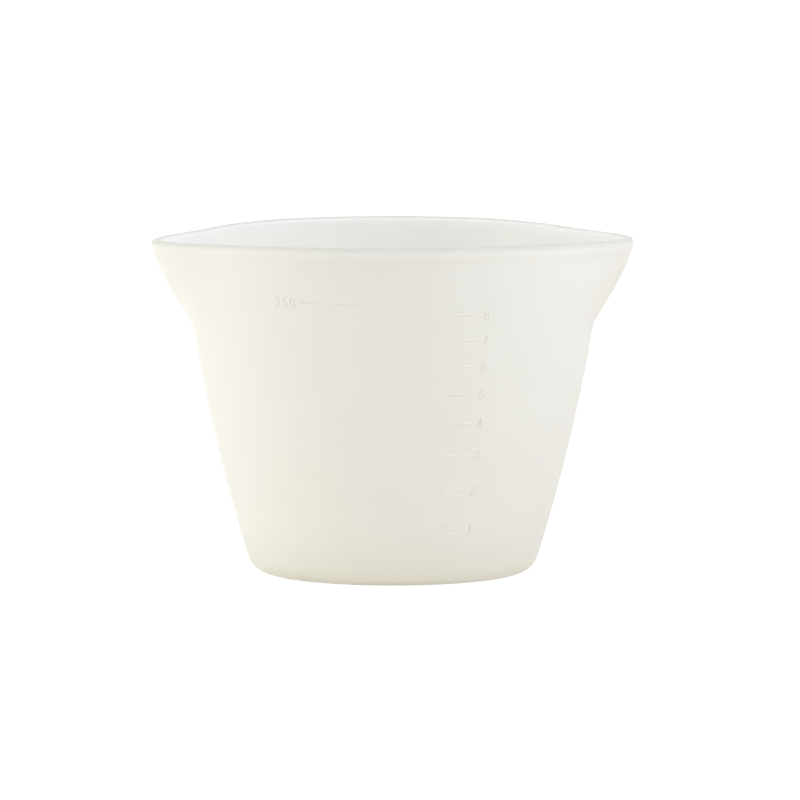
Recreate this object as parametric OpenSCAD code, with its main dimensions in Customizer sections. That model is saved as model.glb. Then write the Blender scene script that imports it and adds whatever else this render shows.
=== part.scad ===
// Resin mixing cup.
// One soft, milky moulding: a bowed, tapering wall on a rounded foot, two pour lips
// opposite each other, and a raised scale on the front of the wall.
// The cup stands at the origin, its lips point along X and its scale faces -Y.

/* [Cup] */
// Height from the table to the top of the rim, between the lips
cup_h = 73.2; // [69:0.2:90]
// Diameter over the rim, between the lips
rim_d = 91.6; // [87:0.2:104]
// Diameter that the wall runs down to at the table, before the foot is rounded
base_d = 60.2; // [57:0.2:70]
// How far the wall bows out from a straight cone, halfway up
wall_bow = 2; // [0:0.25:4]
// Wall thickness, measured level
wall_t = 1.8; // [1.2:0.1:2.6]
// Floor thickness
floor_t = 2.5; // [1.5:0.25:4]
// Radius round the outside of the foot
foot_r = 4.8; // [1.5:0.1:6]
// Radius between the floor and the inside of the wall
fillet_r = 5; // [2:0.5:8]

/* [Rim] */
// Height of the slightly thicker band under the rim
band_h = 2.2; // [1.5:0.1:4]
// How far the band stands out from the wall
band_out = 0.15; // [0.1:0.05:0.6]
// Height over which the band fades into the wall
band_fade_h = 1.6; // [0.4:0.1:2]

/* [Pour lips] */
// How far the tip of a lip reaches beyond the round rim
lip_reach = 6.3; // [3:0.1:9]
// Height of a lip, from where it leaves the wall to its tip
lip_h = 18.8; // [14:0.2:26]
// Angle from the middle of a lip to where it has blended into the round rim
lip_spread = 45; // [30:1:54]
// How much lower the tip of a lip is than the rim between the lips
lip_dip = 1.3; // [0:0.1:3]

/* [Scale] */
// Volume between two ounce lines, in millilitres
ounce_ml = 29.57; // [28:0.01:30]
// Number of ounce lines
ounces = 8; // [1:1:8]
// Length of an ounce line
line_len = 6; // [3:0.5:9]
// Height of every raised line
line_w = 0.45; // [0.3:0.05:0.8]
// How far lines and numerals stand out from the wall
relief = 0.2; // [0.15:0.05:0.6]
// Direction of the middle of the ounce lines, in degrees to the right of the front
ounce_dir = 17; // [10:1:26]
// Height of a numeral
numeral_h = 2.4; // [1.8:0.1:3.2]
// Space between the end of a line and its numeral
numeral_gap = 0.8; // [0.4:0.1:2]

/* [Fill line] */
// Volume at the long fill line, in millilitres
fill_ml = 250; // [245:1:256]
// Length of the fill line
fill_len = 19; // [8:1:22]
// Direction of the middle of the fill line, in degrees to the right of the front
fill_dir = -18; // [-26:1:-14]

/* [Hidden] */

silicone = "#e9e6db";
raised_silicone = "#dedace";

// Fineness of the moulded shell: steps round the cup, and steps along each stretch of its section
round_steps = 96;
rim_steps = 6;
side_steps = 12;
corner_steps = 4;

// How sharply a lip narrows towards its tip, how steeply it leaves the wall,
// and how soon the rim comes back up beside it
lip_narrowing = 4.8;
lip_rise = 1.2;
dip_narrowing = 4;

// The wall's outer face meets the inner edge of the rim's band at this radius
top_r = rim_d / 2 - band_out;
base_r = base_d / 2;
// The rim is rounded over its full thickness
rim_r = (wall_t + band_out) / 2;
lip_z = cup_h - lip_dip - lip_h;

// Radius of the wall's outer face at height z, and its lean from upright in degrees
function wall_r(z) = base_r + (top_r - base_r) * z / cup_h + 4 * wall_bow * z / cup_h * (1 - z / cup_h);
function wall_lean(z) = atan((top_r - base_r) / cup_h + 4 * wall_bow / cup_h * (1 - 2 * z / cup_h));

// How much of a lip there is in direction a: 1 along its middle, 0 where it has blended in
function lip_share(a) =
    let (off = acos(abs(cos(a))))
    off < lip_spread ? pow(cos(90 * off / lip_spread), lip_narrowing) : 0;

// How far a lip reaches at height z, as a share of its reach at the tip
function lip_flare(z) = pow(sin(90 * min(1, max(0, (z - lip_z) / lip_h))), lip_rise);

function skin_r(a, z) = wall_r(z) + lip_reach * lip_share(a) * lip_flare(z);
function rim_z(a) = cup_h - lip_dip * pow(cos(a), dip_narrowing);

// Centre radius of a corner of radius r that rounds a face at height z into a leaning wall
function corner_c(wall, z, r) = wall - r / cos(wall_lean(z));

foot_c = corner_c(wall_r(foot_r), foot_r, foot_r);
fillet_z = floor_t + fillet_r;
fillet_c = corner_c(wall_r(fillet_z) - wall_t, fillet_z, fillet_r);

// The floor's middle is a plain disc. The moulded wall starts short of the floor's two corners,
// and the disc laps into it.
core_inset = 2;
core_lap = 1;
core_r = min(foot_c, fillet_c) - core_inset;

// Points of a corner of radius r round [cr, cz], from angle a0 to a1
function corner(cr, cz, r, a0, a1, steps) =
    [for (i = [0:steps]) let (a = a0 + (a1 - a0) * i / steps) [cr + r * cos(a), cz + r * sin(a)]];

// Heights from z0 to z1, without the two ends
function between(z0, z1) = [for (i = [1:side_steps - 1]) z0 + (z1 - z0) * i / side_steps];

// Section of the wall in direction a, as [radius, height]: up the inside, over the rim, down the outside
function section(a) =
    let (
        rim_c = rim_z(a) - rim_r,
        band_z = rim_z(a) - band_h,
        fade_z = band_z - band_fade_h,
        lean_in = wall_lean(fillet_z),
        lean_out = wall_lean(foot_r),
        inside_z = fillet_z - fillet_r * sin(lean_in),
        outside_z = foot_r - foot_r * sin(lean_out)
    )
    concat(
        [[core_r, floor_t]],
        corner(fillet_c, fillet_z, fillet_r, -90, -lean_in, corner_steps),
        [for (z = between(inside_z, rim_c)) [skin_r(a, z) - wall_t, z]],
        corner(skin_r(a, rim_c) + band_out - rim_r, rim_c, rim_r, 180, 0, rim_steps),
        [[skin_r(a, band_z) + band_out, band_z], [skin_r(a, fade_z), fade_z]],
        [for (z = between(fade_z, outside_z)) [skin_r(a, z), z]],
        corner(foot_c, foot_r, foot_r, -lean_out, -90, corner_steps),
        [[core_r, 0]]
    );

module moulded_wall() {
    n = round_steps;
    m = len(section(0));
    points = [
        for (j = [0:n - 1])
            let (a = 360 * j / n)
            for (p = section(a)) [p[0] * cos(a), p[0] * sin(a), p[1]]
    ];
    faces = [
        for (j = [0:n - 1], i = [0:m - 1])
            let (
                here = j * m + i,
                up = j * m + (i + 1) % m,
                next = (j + 1) % n * m + i,
                next_up = (j + 1) % n * m + (i + 1) % m
            )
            each [[here, next, next_up], [here, next_up, up]]
    ];
    polyhedron(points, faces, convexity = 6);
}

module cup_shell() {
    color(silicone)
    union() {
        moulded_wall();
        cylinder(h = floor_t, r = core_r + core_lap, $fn = round_steps);
    }
}

// Volume under height z, in millilitres. The inner radius is p + q z + s z^2, and the corner
// between floor and wall takes a little away. The lips start too high to add much.
function held_ml(z) = (poured(z) - poured(floor_t) - corner_loss) / 1000;
function poured(z) =
    let (
        p = base_r - wall_t,
        q = (top_r - base_r + 4 * wall_bow) / cup_h,
        s = -4 * wall_bow / cup_h / cup_h
    )
    PI * (
        p * p * z + p * q * z ^ 2 + (q * q + 2 * p * s) * z ^ 3 / 3
        + q * s * z ^ 4 / 2 + s * s * z ^ 5 / 5
    );
// The area that rounding takes from a square corner lies this share of the radius from its centre
corner_mid = 0.78;
corner_loss = (1 - PI / 4) * fillet_r ^ 2 * 2 * PI * (fillet_c + corner_mid * fillet_r);

// Height at which the cup holds ml, found by halving the interval that it lies in
halvings = 20;
function fill_z(ml, lo = floor_t, hi = cup_h, left = halvings) =
    let (mid = (lo + hi) / 2)
    left == 0 ? mid : held_ml(mid) < ml ? fill_z(ml, mid, hi, left - 1) : fill_z(ml, lo, mid, left - 1);

// Angle that a length takes up round the wall at height z
function turn(len, z) = len / wall_r(z) * 180 / PI;

// A raised line at height z, centred on direction dir. Its upper and lower edges slope,
// as a mould leaves them, by this share of its height.
line_draft = 1 / 6;
module wall_line(z, dir, len) {
    low = z - line_w / 2;
    high = z + line_w / 2;
    draft = line_w * line_draft;
    rotate([0, 0, dir - 90 - turn(len, z) / 2])
    rotate_extrude(angle = turn(len, z), $fn = round_steps)
    polygon([
        [wall_r(low), low],
        [wall_r(low) + relief, low + draft],
        [wall_r(high) + relief, high - draft],
        [wall_r(high), high]
    ]);
}

// Lays a flat shape on the wall's outer face at height z, its left edge at direction dir
module on_wall(z, dir) {
    rotate([0, 0, dir - 90])
    translate([wall_r(z), 0, z])
    rotate([0, wall_lean(z), 0])
    rotate([90, 0, 90])
    linear_extrude(relief)
    children();
}

// Numerals are drawn with strokes in a cell that is 1 high
numeral_w = 0.6;
numeral_step = 0.78;
stroke = 0.17;

function unit(v) = v / norm(v);

// Points of an elliptical arc round [cx, cy]
function arc(cx, cy, rx, ry, a0, a1, steps = 8) =
    [for (i = [0:steps]) let (a = a0 + (a1 - a0) * i / steps) [cx + rx * cos(a), cy + ry * sin(a)]];

// A stroke along a path: its points moved to one side, then back along the other side
module brush(path) {
    last = len(path) - 1;
    ahead = [for (i = [0:last]) unit(path[min(i + 1, last)] - path[min(i, last - 1)])];
    behind = [for (i = [0:last]) unit(path[max(i, 1)] - path[max(i - 1, 0)])];
    side = [
        for (i = [0:last])
            let (d = unit(ahead[i] + behind[i]))
            stroke / 2 / (d * ahead[i]) * [-d[1], d[0]]
    ];
    polygon(concat(
        [for (i = [0:last]) path[i] + side[i]],
        [for (i = [last:-1:0]) path[i] - side[i]]
    ));
}

// A closed oval stroke, with oval_steps corners
oval_steps = 16;
module oval(cx, cy, rx, ry) {
    full_turn = 360 * (oval_steps - 1) / oval_steps;
    difference() {
        polygon(arc(cx, cy, rx + stroke / 2, ry + stroke / 2, 0, full_turn, oval_steps - 1));
        polygon(arc(cx, cy, rx - stroke / 2, ry - stroke / 2, 0, full_turn, oval_steps - 1));
    }
}

module numeral(n) {
    low = stroke / 2;
    high = 1 - stroke / 2;
    if (n == 0) {
        oval(0.3, 0.5, 0.21, 0.41);
    }
    if (n == 1) {
        brush([[0.1, 0.74], [0.34, high], [0.34, 0]]);
    }
    if (n == 2) {
        brush(concat(arc(0.3, 0.68, 0.21, 0.235, 165, -30), [[0.1, low], [0.58, low]]));
    }
    if (n == 3) {
        brush(arc(0.28, 0.71, 0.2, 0.205, 150, -95));
        brush(arc(0.28, 0.295, 0.22, 0.21, 95, -150));
    }
    if (n == 4) {
        brush([[0.42, 0], [0.42, 1]]);
        brush([[0.4, 0.93], [0.09, 0.3], [0.6, 0.3]]);
    }
    if (n == 5) {
        brush([[0.52, high], [0.15, high], [0.12, 0.5]]);
        brush(arc(0.28, 0.31, 0.22, 0.225, 135, -150));
    }
    if (n == 6) {
        oval(0.3, 0.295, 0.21, 0.21);
        brush(arc(0.46, 0.33, 0.37, 0.585, 175, 100, 6));
    }
    if (n == 7) {
        brush([[0.05, high], [0.52, high], [0.22, 0]]);
    }
    if (n == 8) {
        oval(0.3, 0.72, 0.175, 0.195);
        oval(0.3, 0.295, 0.21, 0.21);
    }
}

// A row of numerals with its middle on the line at height z, its left edge at direction dir
module wall_numerals(digits, z, dir) {
    for (i = [0:len(digits) - 1]) {
        on_wall(z, dir + turn(i * numeral_step * numeral_h, z))
        translate([0, -numeral_h / 2])
        scale(numeral_h)
        numeral(digits[i]);
    }
}

module ounce_lines() {
    color(raised_silicone)
    for (n = [1:ounces]) {
        wall_line(fill_z(n * ounce_ml), ounce_dir, line_len);
    }
}

module ounce_numerals() {
    color(raised_silicone)
    for (n = [1:ounces]) {
        z = fill_z(n * ounce_ml);
        wall_numerals([n], z, ounce_dir + turn(line_len / 2 + numeral_gap, z));
    }
}

module fill_line() {
    color(raised_silicone)
    wall_line(fill_z(fill_ml), fill_dir, fill_len);
}

// The fill line's volume, to its left
module fill_numerals() {
    z = fill_z(fill_ml);
    digits = [floor(fill_ml / 100), floor(fill_ml / 10) % 10, fill_ml % 10];
    row_len = numeral_h * (2 * numeral_step + numeral_w);
    color(raised_silicone)
    wall_numerals(digits, z, fill_dir - turn(fill_len / 2 + numeral_gap + row_len, z));
}

cup_shell();
ounce_lines();
ounce_numerals();
fill_line();
fill_numerals();
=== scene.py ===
import math

import bpy
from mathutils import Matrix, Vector


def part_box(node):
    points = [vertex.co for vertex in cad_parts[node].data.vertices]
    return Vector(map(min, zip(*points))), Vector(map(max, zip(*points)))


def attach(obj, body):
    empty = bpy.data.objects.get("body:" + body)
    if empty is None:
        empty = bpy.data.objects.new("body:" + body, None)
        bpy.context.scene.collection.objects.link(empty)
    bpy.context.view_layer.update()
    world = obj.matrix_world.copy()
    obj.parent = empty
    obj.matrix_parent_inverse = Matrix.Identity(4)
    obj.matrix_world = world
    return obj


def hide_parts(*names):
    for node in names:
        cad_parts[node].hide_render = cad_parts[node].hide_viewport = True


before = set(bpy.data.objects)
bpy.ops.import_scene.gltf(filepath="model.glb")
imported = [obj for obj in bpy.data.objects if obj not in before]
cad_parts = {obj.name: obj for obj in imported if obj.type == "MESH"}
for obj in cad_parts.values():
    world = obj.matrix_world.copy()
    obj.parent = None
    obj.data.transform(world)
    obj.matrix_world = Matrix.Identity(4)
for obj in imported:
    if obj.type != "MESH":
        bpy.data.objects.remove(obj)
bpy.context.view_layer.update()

# The looks of a resin mixing cup: one soft moulding of milky silicone, with its raised scale.
# Lengths are in millimetres and angles in degrees, until a mesh is made.
MM = 0.001
MM3_PER_ML = 1000

# The cup's sizes, which part.scad holds too
CUP_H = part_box("cup_shell")[1].z / MM
RIM_D = 91.6
BASE_D = 60.2
WALL_BOW = 2
WALL_T = 1.8
FLOOR_T = 2.5
FOOT_R = 4.8
FILLET_R = 5

# The band under the rim: its height, how far it stands out, and how much lower it has faded into the wall
BAND_H = 2.2
BAND_OUT = 0.15
BAND_FADE_H = 1.6

# The pour lips: how far one reaches out at its tip, its height, the angle from its middle to where it has
# blended into the round rim, how far its tip dips, and the powers that narrow it, shape its flare and narrow
# the dip
LIP_REACH = 6.3
LIP_H = 18.8
LIP_SPREAD = 45
LIP_DIP = 1.3
LIP_NARROWING = 4.8
LIP_RISE = 1.2
DIP_NARROWING = 4

# The rim's painted shade: how far its dark edge reaches down outside and inside, and the share of it that is
# lost at the lips. Then how strong the faint painted shade is that follows it down the outside, and how far
# that reaches
RIM_SHADE_H = 1.8
RIM_SHADE_INSIDE_H = 0.7
RIM_SHADE_FADE = 0.1
BAND_PAINTED_SHADE = 0.14
BAND_PAINTED_SHADE_H = 4.5

# The raised scale: ROOT is how deep its strokes start under the wall's face
OUNCE_ML = 29.57
OUNCES = 8
LINE_LEN = 6
LINE_W = 0.45
RELIEF = 0.2
ROOT = 0.02
OUNCE_DIR = 17
FILL_ML = 250
FILL_LEN = 19
FILL_DIR = -18

# The numerals: their height, their distance from their line, and their width, spacing and stroke as shares
# of their height
NUMERAL_H = 2.4
NUMERAL_GAP = 0.8
NUMERAL_W = 0.6
NUMERAL_STEP = 0.78
STROKE = 0.17

# Fineness of the meshes: parts of a curve, and lengths of a step along a raised stroke
ROUND_STEPS = 288
RIM_STEPS = 16
SIDE_STEPS = 44
CORNER_STEPS = 12
BAND_STEPS = 3
FADE_STEPS = 6
ARCH_STEPS = 10
ARC_STEPS = 16
RING_STEPS = 32
STROKE_STEP = 0.08
LINE_STEP = 0.1

# How a line's height is found: the discs that a held volume is summed from, and the halvings of the search
DISCS = 400
HALVINGS = 20

# How near its end a stroke stops narrowing, as a share of its half width
STROKE_END = 0.04

TOP_R = RIM_D / 2 - BAND_OUT
BASE_R = BASE_D / 2
RIM_R = (WALL_T + BAND_OUT) / 2
LIP_Z = CUP_H - LIP_DIP - LIP_H


def cosd(a):
    return math.cos(math.radians(a))


def sind(a):
    return math.sin(math.radians(a))


def wall_r(z):
    """Radius of the wall's outer face at height z, away from the lips. It bows out most at mid height."""
    t = z / CUP_H
    return BASE_R + (TOP_R - BASE_R) * t + 4 * WALL_BOW * t * (1 - t)


def wall_lean(z):
    """How far the wall leans out from upright at height z, in degrees."""
    return math.degrees(math.atan((TOP_R - BASE_R) / CUP_H + 4 * WALL_BOW / CUP_H * (1 - 2 * z / CUP_H)))


def lip_share(a):
    """1 along the middle of a lip, 0 where it has blended into the round rim."""
    off = math.degrees(math.acos(min(1, abs(cosd(a)))))
    return cosd(90 * off / LIP_SPREAD) ** LIP_NARROWING if off < LIP_SPREAD else 0


def lip_flare(z):
    """How far a lip reaches at height z, as a share of its reach at the tip."""
    return sind(90 * min(1, max(0, (z - LIP_Z) / LIP_H))) ** LIP_RISE


def skin_r(a, z):
    """Radius of the outer face in direction a, at height z."""
    return wall_r(z) + LIP_REACH * lip_share(a) * lip_flare(z)


def rim_z(a):
    """Height of the rim's top in direction a, which dips at the lips."""
    return CUP_H - LIP_DIP * abs(cosd(a)) ** DIP_NARROWING


def corner_c(wall, z, r):
    """Centre radius of a corner of radius r, centred at height z, that meets the leaning wall."""
    return wall - r / cosd(wall_lean(z))


def corner(cr, cz, r, a0, a1, steps):
    """Points of a corner of radius r round (cr, cz), from angle a0 to a1."""
    turns = [a0 + (a1 - a0) * i / steps for i in range(steps + 1)]
    return [(cr + r * cosd(a), cz + r * sind(a)) for a in turns]


def inner_fillet():
    """The inner corner of floor and wall: its centre's radius and height, and the height of its top."""
    z = FLOOR_T + FILLET_R
    return corner_c(wall_r(z) - WALL_T, z, FILLET_R), z, z - FILLET_R * sind(wall_lean(z))


def between(z0, z1, steps):
    """Heights from z0 to z1, without the two ends."""
    return [z0 + (z1 - z0) * i / steps for i in range(1, steps)]


def ease(t):
    """0 to 1 as t goes from 0 to 1, with a gentle start and end."""
    return t * t * (3 - 2 * t)


def section(a):
    """Section of the cup in direction a, as (radius, height, rim shade): from the floor up the inside, over
    the rim and down the outside. The third is how much of the rim's painted shade lies there."""
    fillet_c, fillet_z, inside_z = inner_fillet()
    foot_c = corner_c(wall_r(FOOT_R), FOOT_R, FOOT_R)
    lean_in, lean_out = wall_lean(fillet_z), wall_lean(FOOT_R)
    outside_z = FOOT_R - FOOT_R * sind(lean_out)
    rim_c = rim_z(a) - RIM_R
    band_z = rim_z(a) - BAND_H
    fade_z = band_z - BAND_FADE_H
    points = corner(fillet_c, fillet_z, FILLET_R, -90, -lean_in, CORNER_STEPS)
    points += [(skin_r(a, z) - WALL_T, z) for z in between(inside_z, rim_c, SIDE_STEPS)]
    top_at = len(points) + RIM_STEPS // 2
    points += corner(skin_r(a, rim_c) + BAND_OUT - RIM_R, rim_c, RIM_R, 180, 0, RIM_STEPS)
    points += [(skin_r(a, z) + BAND_OUT, z) for z in between(rim_c, band_z, BAND_STEPS)]
    for i in range(FADE_STEPS + 1):
        z = band_z - BAND_FADE_H * i / FADE_STEPS
        points.append((skin_r(a, z) + BAND_OUT * ease(1 - i / FADE_STEPS), z))
    points += [(skin_r(a, z), z) for z in between(fade_z, outside_z, SIDE_STEPS)]
    points += corner(foot_c, FOOT_R, FOOT_R, -lean_out, -90, CORNER_STEPS)
    return [(r, z, rim_crown(a, rim_z(a) - z, i < top_at)) for i, (r, z) in enumerate(points)]


def rim_crown(a, below, inside):
    """How much of the rim's painted shade, a dark edge, lies in direction a, this far below the top. It is a
    little weaker at the lips, and outside a faint painted shade follows it down."""
    reach = RIM_SHADE_INSIDE_H if inside else RIM_SHADE_H
    edge = (1 - RIM_SHADE_FADE * cosd(a) ** 2) * ease(max(0, 1 - below / reach))
    if inside:
        return edge
    return max(edge, BAND_PAINTED_SHADE * ease(max(0, 1 - below / BAND_PAINTED_SHADE_H)))


def new_piece(name, points, faces, slot, node):
    """A smooth mesh piece on the one body, from points in millimetres, standing for a CAD node."""
    mesh = bpy.data.meshes.new(name)
    mesh.from_pydata([(x * MM, y * MM, z * MM) for x, y, z in points], [], faces)
    mesh.shade_smooth()
    piece = bpy.data.objects.new(name, mesh)
    bpy.context.scene.collection.objects.link(piece)
    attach(piece, "root")
    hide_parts(node)
    return piece


def cup_moulding():
    """The cup itself: its section carried round, closed by the floor and the underside."""
    points, faces, rim_shade = [], [], []
    for j in range(ROUND_STEPS):
        a = 360 * j / ROUND_STEPS
        ring = section(a)
        points += [(r * cosd(a), r * sind(a), z) for r, z, _ in ring]
        rim_shade += [share for _, _, share in ring]
    n = len(ring)
    for j in range(ROUND_STEPS):
        here, after = j * n, (j + 1) % ROUND_STEPS * n
        faces += [(here + i, here + i + 1, after + i + 1, after + i) for i in range(n - 1)]
    faces.append([j * n for j in range(ROUND_STEPS)])
    faces.append([j * n + n - 1 for j in reversed(range(ROUND_STEPS))])
    cup = new_piece("cup_moulding", points, faces, "silicone", "cup_shell")
    # The rim's painted shade goes on the mesh as an attribute for the material.
    cup.data.attributes.new("rim_crown", "FLOAT", "POINT").data.foreach_set("value", rim_shade)
    return cup


def held_ml(z):
    """Volume that the cup holds up to height z, in millilitres, by summing thin discs."""
    fillet_c, fillet_z, fillet_top = inner_fillet()
    dz = (z - FLOOR_T) / DISCS
    total = 0
    for i in range(DISCS):
        h = FLOOR_T + (i + 0.5) * dz
        if h < fillet_top:
            r = fillet_c + math.sqrt(FILLET_R ** 2 - (fillet_z - h) ** 2)
        else:
            r = wall_r(h) - WALL_T
        total += math.pi * r * r * dz / MM3_PER_ML
    return total


def fill_z(ml):
    """Height at which the cup holds ml, found by halving the interval that it lies in."""
    low, high = FLOOR_T, CUP_H
    for _ in range(HALVINGS):
        middle = (low + high) / 2
        if held_ml(middle) < ml:
            low = middle
        else:
            high = middle
    return (low + high) / 2


def on_wall(z, turn_to, u, v, w):
    """A point w out of the wall, u round it to the right of direction turn_to and v above height z."""
    lean = wall_lean(z)
    height = z + v * cosd(lean) - w * sind(lean)
    radius = wall_r(z + v * cosd(lean)) + w * cosd(lean)
    a = turn_to - 90 + math.degrees(u / wall_r(z))
    return radius * cosd(a), radius * sind(a), height


def bead(path, width, z, turn_to):
    """A rounded raised stroke on the wall at height z, along a path of (u, v) points from direction turn_to:
    its points and faces. It is open underneath, where it grows out of the wall, with its edges a hair's
    breadth under the wall's face."""
    points, faces = [], []
    last = len(path) - 1
    length = [0]
    for (u0, v0), (u1, v1) in zip(path, path[1:]):
        length.append(length[-1] + math.hypot(u1 - u0, v1 - v0))
    for i, (u, v) in enumerate(path):
        u0, v0 = path[max(i - 1, 0)]
        u1, v1 = path[min(i + 1, last)]
        size = math.hypot(u1 - u0, v1 - v0)
        nu, nv = -(v1 - v0) / size, (u1 - u0) / size
        to_end = min(length[i], length[-1] - length[i])
        round_off = math.sqrt(1 - (1 - min(1, max(STROKE_END, to_end / (width / 2)))) ** 2)
        half = width / 2 * round_off
        tall = (RELIEF + ROOT) * round_off
        for k in range(ARCH_STEPS + 1):
            s = (1 - 2 * k / ARCH_STEPS) * half
            w = (1 - cosd(360 * k / ARCH_STEPS)) / 2 * tall - ROOT
            points.append(on_wall(z, turn_to, u + s * nu, v + s * nv, w))
    n = ARCH_STEPS + 1
    for i in range(last):
        for k in range(ARCH_STEPS):
            faces.append((i * n + k, i * n + k + 1, (i + 1) * n + k + 1, (i + 1) * n + k))
    return points, faces


def fine(path, step):
    """The same path with points at most step apart."""
    out = [path[0]]
    for (u0, v0), (u1, v1) in zip(path, path[1:]):
        parts = max(1, math.ceil(math.hypot(u1 - u0, v1 - v0) / step))
        out += [(u0 + (u1 - u0) * k / parts, v0 + (v1 - v0) * k / parts) for k in range(1, parts + 1)]
    return out


def joined(strokes):
    """Several strokes' points and faces as one list of each."""
    points, faces = [], []
    for some_points, some_faces in strokes:
        start = len(points)
        points += some_points
        faces += [[start + i for i in f] for f in some_faces]
    return points, faces


def line_bead(z, turn_to, length):
    """A raised line round the wall at height z, with its middle at direction turn_to."""
    return bead(fine([(-length / 2, 0), (length / 2, 0)], LINE_STEP), LINE_W, z, turn_to)


def arc(cx, cy, rx, ry, a0, a1, steps=ARC_STEPS):
    """Points along an ellipse round (cx, cy), from angle a0 to a1."""
    turns = [a0 + (a1 - a0) * i / steps for i in range(steps + 1)]
    return [(cx + rx * cosd(a), cy + ry * sind(a)) for a in turns]


def numeral_paths(n):
    """The strokes of a numeral in a cell that is 1 high, from its lower left corner."""
    low, high = STROKE / 2, 1 - STROKE / 2
    return {
        0: [arc(0.3, 0.5, 0.21, 0.41, 0, 360, RING_STEPS)],
        1: [[(0.1, 0.74), (0.34, high), (0.34, 0)]],
        2: [arc(0.3, 0.68, 0.21, 0.235, 165, -30) + [(0.1, low), (0.58, low)]],
        3: [arc(0.28, 0.71, 0.2, 0.205, 150, -95), arc(0.28, 0.295, 0.22, 0.21, 95, -150)],
        4: [[(0.42, 0), (0.42, 1)], [(0.4, 0.93), (0.09, 0.3), (0.6, 0.3)]],
        5: [[(0.52, high), (0.15, high), (0.12, 0.5)], arc(0.28, 0.31, 0.22, 0.225, 135, -150)],
        6: [arc(0.3, 0.295, 0.21, 0.21, 0, 360, RING_STEPS), arc(0.46, 0.33, 0.37, 0.585, 175, 100)],
        7: [[(0.05, high), (0.52, high), (0.22, 0)]],
        8: [
            arc(0.3, 0.72, 0.175, 0.195, 0, 360, RING_STEPS),
            arc(0.3, 0.295, 0.21, 0.21, 0, 360, RING_STEPS),
        ],
    }[n]


def numeral_beads(digits, z, turn_to):
    """Raised numerals in a row whose left edge is at direction turn_to, with their middle at height z."""
    strokes = []
    for i, digit in enumerate(digits):
        left = i * NUMERAL_STEP * NUMERAL_H
        for path in numeral_paths(digit):
            sized = [(left + x * NUMERAL_H, (y - 0.5) * NUMERAL_H) for x, y in path]
            strokes.append(bead(fine(sized, STROKE_STEP), STROKE * NUMERAL_H, z, turn_to))
    return strokes


def turn(length, z):
    """Angle that a length takes up round the wall at height z."""
    return math.degrees(length / wall_r(z))


def raised_scale():
    """The four groups of raised marks, each a piece of its own."""
    heights = [fill_z(n * OUNCE_ML) for n in range(1, OUNCES + 1)]
    ounce_lines = joined([line_bead(z, OUNCE_DIR, LINE_LEN) for z in heights])
    ounce_numerals = []
    for n, z in enumerate(heights, 1):
        ounce_numerals += numeral_beads([n], z, OUNCE_DIR + turn(LINE_LEN / 2 + NUMERAL_GAP, z))
    fill_height = fill_z(FILL_ML)
    fill_line = line_bead(fill_height, FILL_DIR, FILL_LEN)
    digits = [int(c) for c in str(FILL_ML)]
    row_len = NUMERAL_H * ((len(digits) - 1) * NUMERAL_STEP + NUMERAL_W)
    row_start = FILL_DIR - turn(FILL_LEN / 2 + NUMERAL_GAP + row_len, fill_height)
    fill_numerals = numeral_beads(digits, fill_height, row_start)
    return [
        new_piece("ounce_line_beads", *ounce_lines, "raised_scale", "ounce_lines"),
        new_piece("ounce_numeral_beads", *joined(ounce_numerals), "raised_scale", "ounce_numerals"),
        new_piece("fill_line_bead", *fill_line, "raised_scale", "fill_line"),
        new_piece("fill_numeral_beads", *joined(fill_numerals), "raised_scale", "fill_numerals"),
    ]


def linear(hex_colour):
    """An sRGB hex colour as linear red, green, blue and alpha."""
    parts = [int(hex_colour[i:i + 2], 16) / 255 for i in (1, 3, 5)]
    return (*[c / 12.92 if c <= 0.04045 else ((c + 0.055) / 1.055) ** 2.4 for c in parts], 1)


def add(tree, kind, inputs=None, links=None, **settings):
    """Adds a node with its settings, the plain values of its inputs and the sockets linked to them."""
    node = tree.nodes.new(kind)
    for name, value in settings.items():
        setattr(node, name, value)
    for name, value in (inputs or {}).items():
        node.inputs[name].default_value = value
    for name, socket in (links or {}).items():
        tree.links.new(socket, node.inputs[name])
    return node


def new_material(name):
    """An empty node material and its tree."""
    material = bpy.data.materials.new(name)
    material.use_nodes = True
    material.node_tree.nodes.clear()
    return material, material.node_tree


# Moulded silicone: the size of the clouds where the mix is denser, the heights between which the painted
# shade towards the bottom fades out, how far light travels inside, the shares of that for red, green and
# blue, and the range of its roughness. The real satin grain is finer than 0.1 mm, and is drawn coarser so
# that it shows.
CLOUD_SIZE = 22
BOTTOM_SHADE_FROM = 1
BOTTOM_SHADE_TO = 15
LIGHT_TRAVEL = 5.5
TRAVEL_SHARES = (1.0, 1.0, 0.98)
SATIN = (0.45, 0.55)
SILICONE_IOR = 1.41
GRAIN_SIZE = 0.5
GRAIN_DEPTH = 0.02
GRAIN_STRENGTH = 0.08


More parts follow.
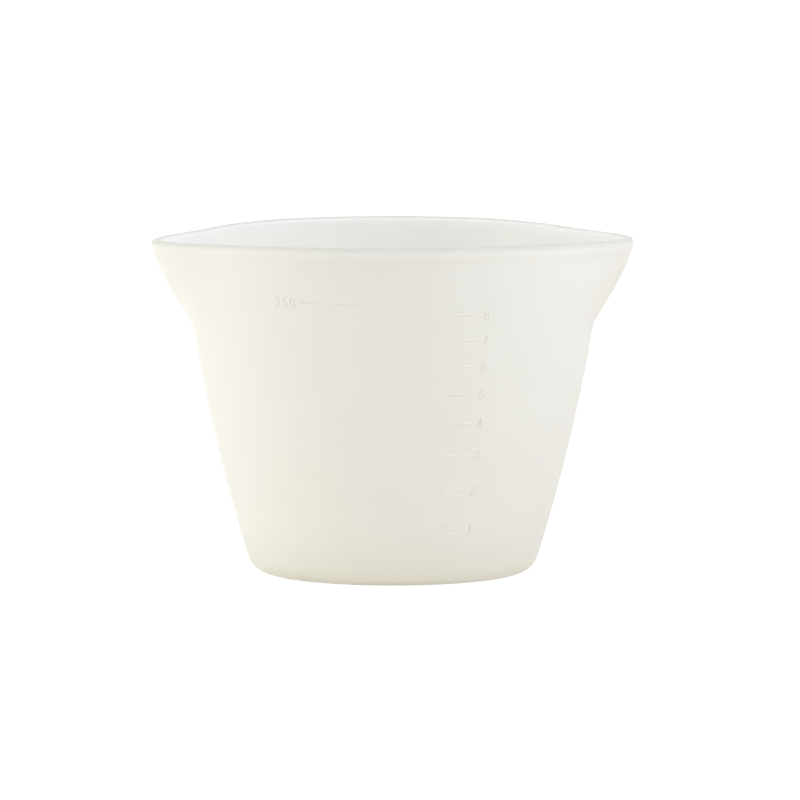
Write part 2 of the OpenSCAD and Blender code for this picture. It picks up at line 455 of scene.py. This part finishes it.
def moulded_silicone(name, thin, thick, bottom_shade, rim_shade, soaks_in):
    """Milky platinum-cured silicone, moulded. Light soaks in and comes out a few millimetres away, the skin
    is satin, and faint clouds show where the mix is denser. Shade is painted into its colour where the eye
    would
    look into more of it: darker towards the bottom, and a dark line along the rim's edge. A mesh without the
    rim's shade attribute has no such line."""
    material, tree = new_material(name)
    place = add(tree, "ShaderNodeTexCoord").outputs["Object"]
    cloud = add(
        tree, "ShaderNodeTexNoise", {"Scale": 1 / (CLOUD_SIZE * MM), "Detail": 2}, {"Vector": place},
    )
    height = add(tree, "ShaderNodeSeparateXYZ", links={0: place}).outputs["Z"]
    # Painted shade: the colour darkens towards the bottom of the cup.
    bottom_shade_share = add(
        tree, "ShaderNodeMapRange",
        {"From Min": BOTTOM_SHADE_FROM * MM, "From Max": BOTTOM_SHADE_TO * MM, "To Min": 1, "To Max": 0},
        {"Value": height}, interpolation_type="SMOOTHSTEP",
    )
    body = add(
        tree, "ShaderNodeMix", {"A": linear(thin), "B": linear(thick)}, {"Factor": cloud.outputs["Fac"]},
        data_type="RGBA",
    )
    low = add(
        tree, "ShaderNodeMix", {"B": linear(bottom_shade)}, {"Factor": bottom_shade_share.outputs[0], "A": body.outputs[2]},
        data_type="RGBA",
    )
    # Painted shade: a dark line along the rim's edge, taken from the mesh's attribute.
    rim_shade_share = add(tree, "ShaderNodeAttribute", attribute_name="rim_crown").outputs["Fac"]
    colour = add(
        tree, "ShaderNodeMix", {"B": linear(rim_shade)}, {"Factor": rim_shade_share, "A": low.outputs[2]},
        data_type="RGBA",
    )
    grain = add(
        tree, "ShaderNodeTexNoise", {"Scale": 1 / (GRAIN_SIZE * MM), "Detail": 3}, {"Vector": place},
    )
    rough = add(
        tree, "ShaderNodeMapRange", {"To Min": SATIN[0], "To Max": SATIN[1]},
        {"Value": grain.outputs["Fac"]},
    )
    bump = add(
        tree, "ShaderNodeBump", {"Strength": GRAIN_STRENGTH, "Distance": GRAIN_DEPTH * MM},
        {"Height": grain.outputs["Fac"]},
    )
    skin = add(
        tree, "ShaderNodeBsdfPrincipled",
        {"IOR": SILICONE_IOR, "Subsurface Weight": soaks_in, "Subsurface Scale": LIGHT_TRAVEL * MM,
         "Subsurface Radius": TRAVEL_SHARES},
        {"Base Color": colour.outputs[2], "Roughness": rough.outputs[0], "Normal": bump.outputs[0]},
    )
    add(tree, "ShaderNodeOutputMaterial", links={"Surface": skin.outputs[0]})
    return material


def seen_directly(tree):
    """1 for what is seen, straight, in a gloss or through glass, and 0 for what only brings light."""
    path = add(tree, "ShaderNodeLightPath").outputs
    seen = add(
        tree, "ShaderNodeMath", links={0: path["Is Camera Ray"], 1: path["Is Glossy Ray"]},
        operation="MAXIMUM",
    )
    seen = add(
        tree, "ShaderNodeMath", links={0: seen.outputs[0], 1: path["Is Transmission Ray"]},
        operation="MAXIMUM",
    )
    return seen.outputs[0]


# The studio floor: metres across, millimetres under the cup, the strength of its own light, and how much of
# it is that light, in what lights the cup and in what is seen directly
FLOOR_SIDE = 16.0
FLOOR_GAP = 0.02
FLOOR_LIGHT = 1.2
FLOOR_OWN_LIGHT = 0.25
FLOOR_SEEN_LIGHT = 0.8


def studio_floor():
    """A matt pale floor with some light of its own, like a lit table, so that the foot stays pale, and
    lifted to white where it is seen directly. It lies a hair's breadth under the cup, and is clear from below
    so that the underside can be looked at."""
    material, tree = new_material("matt_white_floor")
    matt = add(tree, "ShaderNodeBsdfDiffuse", {"Color": linear("#e8dfca")})
    lift = add(tree, "ShaderNodeEmission", {"Strength": FLOOR_LIGHT})
    share = add(
        tree, "ShaderNodeMapRange", {"To Min": FLOOR_OWN_LIGHT, "To Max": FLOOR_SEEN_LIGHT},
        {"Value": seen_directly(tree)},
    )
    both = add(
        tree, "ShaderNodeMixShader", links={0: share.outputs[0], 1: matt.outputs[0], 2: lift.outputs[0]},
    )
    below = add(tree, "ShaderNodeNewGeometry").outputs["Backfacing"]
    clear = add(tree, "ShaderNodeBsdfTransparent")
    faced = add(tree, "ShaderNodeMixShader", links={0: below, 1: both.outputs[0], 2: clear.outputs[0]})
    add(tree, "ShaderNodeOutputMaterial", links={"Surface": faced.outputs[0]})
    mesh = bpy.data.meshes.new("studio_floor")
    half, z = FLOOR_SIDE / 2, -FLOOR_GAP * MM
    corners = [(-half, -half, z), (half, -half, z), (half, half, z), (-half, half, z)]
    mesh.from_pydata(corners, [], [(0, 1, 2, 3)])
    mesh.materials.append(material)
    floor = bpy.data.objects.new("studio_floor", mesh)
    bpy.context.scene.collection.objects.link(floor)


def studio_world(low, high):
    """Soft light from all round, of one colour near the floor and another overhead, seen as plain white."""
    world = bpy.data.worlds.new("studio")
    bpy.context.scene.world = world
    world.use_nodes = True
    tree = world.node_tree
    tree.nodes.clear()
    way = add(tree, "ShaderNodeTexCoord").outputs["Generated"]
    height = add(tree, "ShaderNodeSeparateXYZ", links={0: way}).outputs["Z"]
    tint = add(
        tree, "ShaderNodeMix", {"A": linear(low), "B": linear(high)}, {"Factor": height}, data_type="RGBA",
    )
    lit = add(tree, "ShaderNodeBackground", {"Strength": 1.0}, {"Color": tint.outputs[2]})
    white = add(tree, "ShaderNodeBackground", {"Color": linear("#ffffff"), "Strength": 1.0})
    both = add(
        tree, "ShaderNodeMixShader", links={0: seen_directly(tree), 1: lit.outputs[0], 2: white.outputs[0]},
    )
    add(tree, "ShaderNodeOutputWorld", links={"Surface": both.outputs[0]})


def softbox(name, azimuth, elevation, distance, side, radiance, colour):
    """A square soft lamp aimed at the middle of the cup from the given direction, its sizes in metres."""
    lamp = bpy.data.lights.new(name, "AREA")
    lamp.shape = "RECTANGLE"
    lamp.size, lamp.size_y = side, side
    lamp.energy = radiance * math.pi * side * side
    lamp.color = linear(colour)[:3]
    box = bpy.data.objects.new(name, lamp)
    bpy.context.scene.collection.objects.link(box)
    way = Vector((sind(azimuth) * cosd(elevation), -cosd(azimuth) * cosd(elevation), sind(elevation)))
    middle = Vector((0, 0, CUP_H / 2 * MM))
    box.location = middle + way * distance
    box.rotation_mode = "QUATERNION"
    box.rotation_quaternion = (-way).to_track_quat("-Z", "Y")


# The photograph's view, worked out from the outline and the rim: the direction and distance of its camera
# from a point on the cup's axis at height AIM_Z, the pixel where that point shows, and the scale there
PHOTO_SIDE_PX = 800
VIEW_AZIMUTH = -3.8
VIEW_ELEVATION = 5.7
VIEW_DISTANCE = 1650
AIM_Z = 36.05
AIM_PX = (393, 403.9)
MM_PER_PX = 0.2152

# The camera's sensor width in millimetres, and the nearest and farthest that it sees in metres
SENSOR = 36
CLIP_NEAR = 0.1
CLIP_FAR = 100


def photo_camera():
    """The camera where the photograph's stood, moved a little aside so that the cup has its place in the
    frame."""
    data = bpy.data.cameras.new("photo_camera")
    camera = bpy.data.objects.new("photo_camera", data)
    bpy.context.scene.collection.objects.link(camera)
    bpy.context.scene.camera = camera
    back = Vector((
        sind(VIEW_AZIMUTH) * cosd(VIEW_ELEVATION),
        -cosd(VIEW_AZIMUTH) * cosd(VIEW_ELEVATION),
        sind(VIEW_ELEVATION),
    ))
    turned = (-back).to_track_quat("-Z", "Y")
    middle = PHOTO_SIDE_PX / 2
    aside = turned @ Vector(((middle - AIM_PX[0]) * MM_PER_PX, (AIM_PX[1] - middle) * MM_PER_PX, 0))
    camera.location = (Vector((0, 0, AIM_Z)) + back * VIEW_DISTANCE + aside) * MM
    camera.rotation_mode = "QUATERNION"
    camera.rotation_quaternion = turned
    data.sensor_width = SENSOR
    data.lens = SENSOR * VIEW_DISTANCE / (PHOTO_SIDE_PX * MM_PER_PX)
    data.clip_start, data.clip_end = CLIP_NEAR, CLIP_FAR


cup = cup_moulding()
# The third and fourth colours are painted shade, towards the bottom and along the rim's edge.
cup.data.materials.append(moulded_silicone(
    "milky_silicone", thin="#f6f6f2", thick="#f1f0eb", bottom_shade="#eae9e2", rim_shade="#c0bfb9", soaks_in=1.0,
))

# The marks are the same silicone. A stroke is too thin for light to soak in on its own, so it is painted a
# shade darker, in the colours that the wall shows under this light, and with the same painted shade towards
# the bottom.
# As it is one moulding with the wall, it casts no shade on it.
relief = moulded_silicone(
    "milky_silicone_relief", thin="#ecebe6", thick="#e8e7e1", bottom_shade="#e4e3dc", rim_shade="#c0bfb9", soaks_in=0.0,
)
for marks in raised_scale():
    marks.data.materials.append(relief)
    marks.visible_shadow = False
    marks.visible_diffuse = False

studio_floor()
studio_world(low="#747271", high="#f0f2ef")
softbox("left_softbox", azimuth=-85, elevation=15, distance=1.3, side=1.2, radiance=1.81, colour="#fffdf7")
softbox("key_softbox", azimuth=55, elevation=50, distance=1.5, side=1.0, radiance=3.75, colour="#ecf0ff")
photo_camera()
bpy.context.scene.view_settings.view_transform = "Standard"
